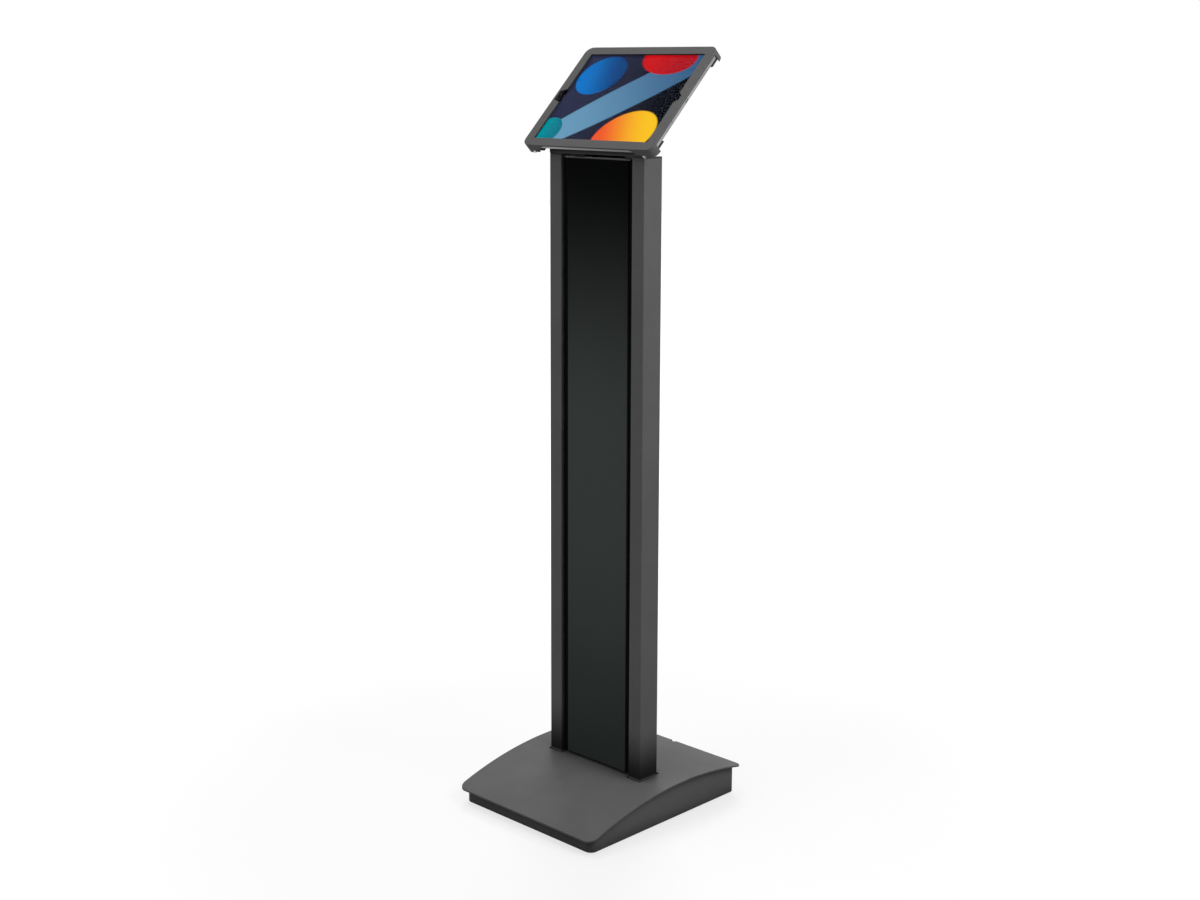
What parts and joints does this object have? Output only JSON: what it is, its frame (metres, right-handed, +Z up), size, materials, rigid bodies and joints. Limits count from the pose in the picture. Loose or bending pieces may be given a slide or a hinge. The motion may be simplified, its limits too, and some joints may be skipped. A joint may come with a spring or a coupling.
{
  "type": "tablet floor kiosk",
  "caption": "Free-standing tablet kiosk: arched base plate, twin-post column with a black infill panel, and a tilted tablet enclosure that turns from landscape to portrait.",
  "frame": {"origin": "on the floor, under the centre of the base cover", "axes": "+Z up, the screen faces -Y and up, +X to the right of someone facing the screen"},
  "size_m": [0.312, 0.37, 1.248],
  "materials": {
    "powder_coat": "grey-brown fine-textured powder coat",
    "black_coat": "matt black powder coat",
    "black_panel": "glossy black sheet",
    "silver_aluminium": "fine bead-blasted anodised",
    "cover_glass": "polished",
    "screen": "lit picture under glass",
    "zinc_steel": "zinc-plated",
    "mild_steel": "black primed steel plate",
    "machined_aluminium": "turned",
    "black_rubber": "matt",
    "black_foam": "closed-cell foam",
    "black_plastic": "moulded, fine texture",
    "washer_plastic": "low-friction sheet",
    "cell_wrap": "black film",
    "circuit_board": "solder mask",
    "lens": "dark coated lens"
  },
  "bodies": {
    "stand": {"base_tray": "powder_coat", "base_cover": "powder_coat", "ballast_plate": "mild_steel", "rubber_feet": "black_rubber", "cover_standoffs": "zinc_steel", "cover_screws": "zinc_steel", "ballast_screws": "zinc_steel", "cable_grommet": "black_rubber", "left_post": "powder_coat", "right_post": "powder_coat", "left_post_spigot": "machined_aluminium", "right_post_spigot": "machined_aluminium", "left_post_cap": "black_plastic", "right_post_cap": "black_plastic", "left_panel_rail": "black_coat", "right_panel_rail": "black_coat", "post_screws": "zinc_steel", "spigot_bolts": "zinc_steel", "front_panel": "black_panel", "rear_panel": "black_panel", "rear_panel_screws": "zinc_steel", "panel_top_trim": "powder_coat", "lower_crossbar": "black_coat", "middle_crossbar": "black_coat", "upper_crossbar": "black_coat", "head_bracket": "powder_coat", "bracket_screws": "zinc_steel"},
    "head": {"swivel_hub": "machined_aluminium", "hub_screws": "zinc_steel", "stop_pin": "zinc_steel", "front_friction_washer": "washer_plastic", "rear_friction_washer": "washer_plastic", "retaining_nut": "zinc_steel", "front_frame": "powder_coat", "frame_screws": "zinc_steel", "back_bracket": "powder_coat", "bracket_pads": "black_foam", "frame_gasket": "black_foam", "tablet_shell": "silver_aluminium", "display_glass": "cover_glass", "display_module": "screen", "front_camera": "lens", "battery_cells": "cell_wrap", "main_board": "circuit_board", "charge_port": "zinc_steel"},
    "volume_up": {"volume_up_button": "silver_aluminium"},
    "volume_down": {"volume_down_button": "silver_aluminium"},
    "power": {"power_button": "silver_aluminium"}
  },
  "joints": [
    {"name": "head_rotation", "type": "hinge", "parent": "stand", "child": "head", "pos_m": [0, 0.03275, 1.1705], "axis": [0, -0.7071, 0.7071], "range_deg": [-90, 0]},
    {"name": "volume_up_press", "type": "slide", "parent": "head", "child": "volume_up", "axis": [0, -0.7071, -0.7071], "range_m": [0, 0.0003], "stiffness_N_per_m": 1500},
    {"name": "volume_down_press", "type": "slide", "parent": "head", "child": "volume_down", "axis": [0, -0.7071, -0.7071], "range_m": [0, 0.0003], "stiffness_N_per_m": 1500},
    {"name": "power_press", "type": "slide", "parent": "head", "child": "power", "axis": [1, 0, 0], "range_m": [0, 0.0003], "stiffness_N_per_m": 1500}
  ]
}
